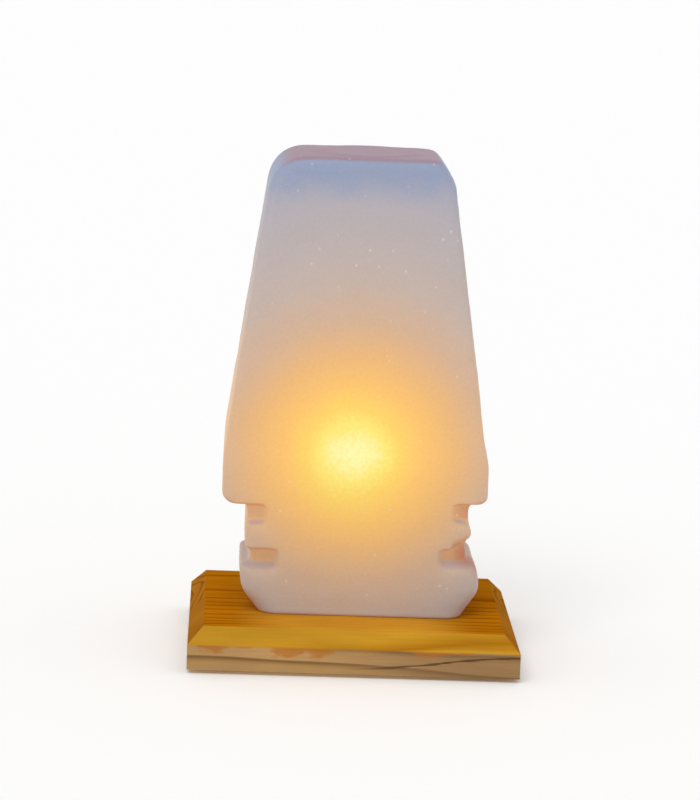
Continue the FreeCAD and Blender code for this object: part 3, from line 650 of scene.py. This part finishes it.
def roll_thread(wall, low, high, depth, runs_out_below):
    """Press a round thread into the wall. It runs out at the top, and at the bottom too if asked."""
    roots = wall.vertex_groups.new(name="roots")
    for vertex in wall.data.vertices:
        x, y, z = vertex.co
        wave = 0.5 - 0.5 * math.cos(2 * math.pi * z / thread_pitch - math.atan2(y, x))
        above = (z - low) / thread_pitch if runs_out_below else 1.0
        below = (high - z) / thread_pitch
        roots.add([vertex.index], wave * clamp(min(above, below)), "REPLACE")
    apply_modifier(wall, "DISPLACE", strength=-depth, mid_level=0.0, direction="NORMAL", vertex_group="roots")


def face_outwards(wall):
    """Turn the wall's faces to look away from the axis, before it gets its thickness."""
    pick(wall)
    bpy.ops.object.mode_set(mode="EDIT")
    bpy.ops.mesh.select_all(action="SELECT")
    bpy.ops.mesh.normals_make_consistent(inside=False)
    bpy.ops.object.mode_set(mode="OBJECT")


def roll_cap(nickel):
    """The bulb's thin metal cap: a rolled round thread with a plain skirt above it."""
    wall_thickness = 0.25 * MM
    thread_radius = 6.9 * MM
    thread_depth = 0.33 * MM
    skirt_radius = cap_high.x
    skirt_height = 7.0 * MM
    flare = 1.0 * MM                        # in height, from the thread out to the skirt
    skirt_bottom = cap_high.z - skirt_height
    cap = tube_wall("threaded_cap", thread_radius, cap_low.z, skirt_bottom, rings=60)
    select_rim(cap, skirt_bottom)
    bpy.ops.mesh.extrude_region_move(TRANSFORM_OT_translate={"value": (0, 0, flare)})
    widening = skirt_radius / thread_radius
    bpy.ops.transform.resize(value=(widening, widening, 1.0), center_override=(0, 0, skirt_bottom + flare))
    bpy.ops.mesh.extrude_region_move(TRANSFORM_OT_translate={"value": (0, 0, skirt_height - flare)})
    bpy.ops.object.mode_set(mode="OBJECT")
    face_outwards(cap)
    roll_thread(cap, cap_low.z, skirt_bottom, thread_depth, runs_out_below=False)
    apply_modifier(cap, "SOLIDIFY", thickness=wall_thickness, offset=-1.0)
    smooth(cap, 50)
    return finish_piece(cap, nickel, "bulb", ["cap_shell"])


def roll_shell(brass):
    """The holder's brass screw shell. Its thread runs beside the cap's, with a little play between them."""
    wall_thickness = 0.4 * MM
    thread_depth = 0.24 * MM
    hole_radius = 5.0 * MM                  # in the floor, for the centre contact
    inside = shell_high.x - wall_thickness
    floor_level = shell_low.z + wall_thickness
    shell = tube_wall("threaded_shell", inside, floor_level, shell_high.z, rings=66)
    select_rim(shell, floor_level)
    narrowing = hole_radius / inside
    bpy.ops.mesh.extrude_region_move(TRANSFORM_OT_translate={"value": (0, 0, 0)})
    bpy.ops.transform.resize(value=(narrowing, narrowing, 1.0), center_override=(0, 0, floor_level))
    bpy.ops.object.mode_set(mode="OBJECT")
    face_outwards(shell)
    roll_thread(shell, floor_level, shell_high.z, thread_depth, runs_out_below=True)
    apply_modifier(shell, "SOLIDIFY", thickness=wall_thickness, offset=1.0)
    smooth(shell, 50)
    return finish_piece(shell, brass, "holder", ["screw_shell"])


def wind_filament(tungsten):
    """A coil of fine wire that arches from one lead to the other over the two supports."""
    wire_radius = 0.06 * MM
    spacing = 0.32 * MM
    steps = 10                              # to each turn of the coil
    leg_height = 4.0 * MM
    end_margin = 0.3 * MM
    coil_radius = (filament_high.y - filament_low.y) / 2
    top = filament_high.z - coil_radius
    foot = top - leg_height
    reach = filament_high.x - end_margin
    bend = reach / 2
    corners = [Vector((x, 0, z)) for x, z in ((-reach, foot), (-bend, top), (bend, top), (reach, foot))]
    points = []
    turn = 0.0
    for start, end in zip(corners, corners[1:]):
        run = end - start
        across = Vector((-run.z, 0, run.x)).normalized() * (coil_radius - wire_radius)
        inwards = Vector((0, coil_radius - wire_radius, 0))
        count = round(run.length / spacing * steps)
        for step in range(count):
            points.append(start + run * step / count + across * math.cos(turn) + inwards * math.sin(turn))
            turn += 2 * math.pi / steps
    curve = bpy.data.curves.new("filament_coil", "CURVE")
    curve.dimensions = "3D"
    curve.bevel_depth = wire_radius
    curve.bevel_resolution = 1
    curve.use_fill_caps = True
    spline = curve.splines.new("POLY")
    spline.points.add(len(points) - 1)
    for point, place in zip(spline.points, points):
        point.co = (*place, 1.0)
    filament = bpy.data.objects.new("filament_coil", curve)
    bpy.context.scene.collection.objects.link(filament)
    pick(filament)
    bpy.ops.object.convert(target="MESH")
    filament = name_piece(bpy.context.object, "filament_coil")
    smooth(filament, 80)
    return finish_piece(filament, tungsten, "bulb", ["filament"])


def dress(material, *nodes):
    """Give CAD nodes whose shape is already right their finish."""
    for node in nodes:
        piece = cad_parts[node]
        if not piece.material_slots:
            piece.data.materials.append(material)
        for slot in piece.material_slots:
            slot.material = material


def fit_out():
    """Everything under the board and inside the bore."""
    corners = ("front_left", "front_right", "back_left", "back_right")
    sides = ("left", "right")

    # Black rubber, moulded: nearly matt, with a faint bloom
    rubber = surface("moulded_black_rubber", ("#262524", "#343230"), 5 * MM, (0.7, 0.85), 0.05 * MM,
                     {"IOR": 1.5})
    mould_pads(rubber)

    # Zinc plated steel, stamped: cool and slightly cloudy, with fine drawing lines
    zinc = surface("stamped_zinc_plated_steel", ("#c3c8cb", "#a3aaaf"), 7 * MM, (0.28, 0.48), 0.02 * MM,
                   {"Metallic": 1.0}, stretch=(0.2, 1.0, 1.0))
    dress(zinc, "clip_plate", *[f"screw_washer_{corner}" for corner in corners],
          *[f"terminal_screw_{side}" for side in sides])
    screw_zinc = surface("thread_rolled_zinc_plated_steel", ("#bfc3c4", "#9b9fa1"), 3 * MM, (0.3, 0.45),
                         0.02 * MM, {"Metallic": 1.0}, pitch=1.8 * MM)
    dress(screw_zinc, *[f"fixing_screw_{corner}" for corner in corners])

    # Spring steel, rolled and tempered: darker, with a blue and straw bloom from the heat
    spring = surface("tempered_spring_steel", ("#8b8f98", "#77716b"), 8 * MM, (0.25, 0.42), 0.02 * MM,
                     {"Metallic": 1.0}, stretch=(1.0, 1.0, 0.2))
    dress(spring, "spring_clip")

    # Nylon, moulded: a waxy grey plug that lets a little light in
    nylon = surface("moulded_grey_nylon", ("#b3b5b4", "#a4a6a6"), 6 * MM, (0.4, 0.55), 0.04 * MM,
                    {"IOR": 1.53, "Subsurface Weight": 0.2, "Subsurface Scale": 2 * MM})
    dress(nylon, *[f"salt_plug_{corner}" for corner in corners])

    # Brass: turned on the nut, thread cut on the nipple, and stamped on the contacts, each a little tarnished
    turned_brass = surface("turned_brass", ("#d0ad62", "#b8924a"), 4 * MM, (0.22, 0.4), 0.02 * MM,
                           {"Metallic": 1.0}, stretch=(1.0, 1.0, 4.0))
    dress(turned_brass, "nipple_nut")
    cut_brass = surface("thread_cut_brass", ("#cba65a", "#ae8944"), 4 * MM, (0.25, 0.42), 0.02 * MM,
                        {"Metallic": 1.0}, pitch=1.0 * MM)
    dress(cut_brass, "clip_nipple")
    stamped_brass = surface("stamped_brass", ("#d4b36c", "#bd9a55"), 3 * MM, (0.25, 0.45), 0.02 * MM,
                            {"Metallic": 1.0})
    dress(stamped_brass, "centre_contact", "centre_rivet", "shell_contact",
          *[f"terminal_plate_{side}" for side in sides])
    roll_shell(stamped_brass)

    # Phenolic plastic, moulded: off-white, with a soft gloss and faint flow marks
    plastic = surface("moulded_off_white_phenolic", ("#e6e1d3", "#dcd6c6"), 10 * MM, (0.32, 0.46), 0.03 * MM,
                      {"IOR": 1.55}, stretch=(1.0, 1.0, 0.3))
    dress(plastic, "holder_cup", "holder_sleeve")

    # Steatite, pressed and fired: a dense, chalky white ceramic with a grainy skin
    steatite = surface("fired_steatite", ("#e9e5da", "#ddd8ca"), 5 * MM, (0.55, 0.75), 0.06 * MM, {"IOR": 1.6})
    dress(steatite, "holder_insert")

    # Capping cement, cast: dull, sandy and pinkish grey
    cement = surface("cast_capping_cement", ("#b7a79a", "#988b80"), 2 * MM, (0.8, 0.95), 0.12 * MM,
                     {"IOR": 1.5})
    dress(cement, "capping_cement")

    # Solder, melted on: bright grey, a little lumpy
    solder = surface("melted_solder", ("#b9babb", "#97989a"), 2.4 * MM, (0.25, 0.5), 0.12 * MM,
                     {"Metallic": 1.0})
    dress(solder, "cap_contact")

    # Black glass, pressed hot: deep and shiny
    black_glass = surface("pressed_black_glass", ("#100f12", "#1c1a1e"), 4 * MM, (0.05, 0.18), 0.04 * MM,
                          {"IOR": 1.52})
    dress(black_glass, "cap_insulator")

    # Nickel plate: a warm, bright grey, rolled on the cap and drawn on the wires
    nickel = surface("rolled_nickel_plate", ("#cdc8bf", "#b3ada3"), 5 * MM, (0.18, 0.36), 0.015 * MM,
                     {"Metallic": 1.0})
    roll_cap(nickel)
    dress(nickel, *[f"lead_wire_{side}" for side in sides], *[f"filament_support_{side}" for side in sides])

    # Soda lime glass, blown: clear, with faint ripples
    glass = surface("blown_clear_glass", ("#fbfcfa", "#ffffff"), 14 * MM, (0.0, 0.04), 0.02 * MM,
                    {"IOR": 1.52, "Transmission Weight": 1.0})
    dress(glass, "bulb_glass", "bulb_stem")

    # Tungsten wire, coiled and white hot
    tungsten = surface("glowing_coiled_tungsten", ("#ffdc9c", "#ffc878"), 1 * MM, (0.4, 0.6), 0.01 * MM,
                       {"Metallic": 1.0, "Emission Color": linear("#ffcf86"), "Emission Strength": 5.0})
    wind_filament(tungsten)


# Stage, lights and camera


def make_stage():
    """A white paper floor, under the pads and far out on all sides."""
    floor_width = 60.0
    gap = 12 * MM                           # more than the way from the underside down to the floor
    bpy.ops.mesh.primitive_plane_add(size=floor_width, location=(0, 0, 0))
    floor = name_piece(bpy.context.object, "floor")
    paper = new_material("pale_paper_floor")
    shader = add(paper, "ShaderNodeBsdfPrincipled", {"Base Color": linear("#ffffff"), "Roughness": 0.9})
    # Seen from below it's clear, so that the underside of the lamp can be looked at
    clear = add(paper, "ShaderNodeBsdfTransparent")
    below = add(paper, "ShaderNodeNewGeometry").outputs["Backfacing"]
    # It also passes the light that the underside, close above it, would otherwise not get
    rays = add(paper, "ShaderNodeLightPath")
    near = add(paper, "ShaderNodeMath", {"operation": "LESS_THAN", 1: gap}, {0: rays.outputs["Ray Length"]})
    lets_in = add(paper, "ShaderNodeMath", {"operation": "MULTIPLY"},
                  {0: near, 1: rays.outputs["Is Diffuse Ray"]})
    open_to = add(paper, "ShaderNodeMath", {"operation": "MAXIMUM"}, {0: below, 1: lets_in})
    seen = add(paper, "ShaderNodeMixShader", {}, {0: open_to, 1: shader, 2: clear})
    add(paper, "ShaderNodeOutputMaterial", {}, {"Surface": seen})
    floor.data.materials.append(paper)


def light_softly():
    """A pale room: even light all round, and one large soft lamp from the upper left of the front."""
    world = bpy.data.worlds.new("pale_room")
    bpy.context.scene.world = world
    world.use_nodes = True
    world.node_tree.nodes.clear()
    seen = add(world, "ShaderNodeLightPath")
    straight = add(world, "ShaderNodeMath", {"operation": "MAXIMUM"},
                   {0: seen.outputs["Is Camera Ray"], 1: seen.outputs["Is Glossy Ray"]})
    shown = add(world, "ShaderNodeMath", {"operation": "MAXIMUM"},
                {0: straight, 1: seen.outputs["Is Transmission Ray"]})
    strength = add(world, "ShaderNodeMapRange", {"To Min": 0.76, "To Max": 1.0}, {"Value": shown})
    background = add(world, "ShaderNodeBackground", {"Color": linear("#ffffff")}, {"Strength": strength})
    add(world, "ShaderNodeOutputWorld", {}, {"Surface": background})

    shining = Vector((0.3, 0.85, -1.1))     # the way its light goes
    light = bpy.data.lights.new("soft_key", "SUN")
    light.angle = math.radians(35)
    light.energy = 0.9
    key = bpy.data.objects.new("soft_key", light)
    key.rotation_mode = "QUATERNION"
    key.rotation_quaternion = shining.to_track_quat("-Z", "Y")
    bpy.context.scene.collection.objects.link(key)


def place_camera():
    """The photograph's view: from 1.8 m, a little above, with the frame tipped by about 2 degrees."""
    picture_height = 800
    focal_length = 3607                     # in pixels of the photograph
    sideways = 9.17                         # from the picture's middle to the point straight ahead
    upwards = 9.14
    sensor = 36.0
    standpoint = (-0.0660, -1.7497, 0.4250)
    yaw = math.radians(-2.16)
    pitch = math.radians(9.62)
    roll = math.radians(2.27)
    ahead = Vector((-math.sin(yaw) * math.cos(pitch), math.cos(yaw) * math.cos(pitch), -math.sin(pitch)))
    level = Vector((math.cos(yaw), math.sin(yaw), 0))
    above = level.cross(ahead)
    right = math.cos(roll) * level + math.sin(roll) * above
    top = -math.sin(roll) * level + math.cos(roll) * above
    lens = bpy.data.cameras.new("camera")
    lens.sensor_width = sensor
    lens.lens = sensor * focal_length / picture_height
    lens.shift_x = -sideways / picture_height
    lens.shift_y = -upwards / picture_height
    lens.clip_start = 0.1
    lens.clip_end = 20.0
    camera = bpy.data.objects.new("camera", lens)
    turn = Matrix((right, top, -ahead)).transposed().to_4x4()
    camera.matrix_world = Matrix.Translation(standpoint) @ turn
    bpy.context.scene.collection.objects.link(camera)
    bpy.context.scene.camera = camera


bpy.context.scene.view_settings.view_transform = "Standard"
carve_block()
sand_board()
fit_out()
make_stage()
light_softly()
place_camera()
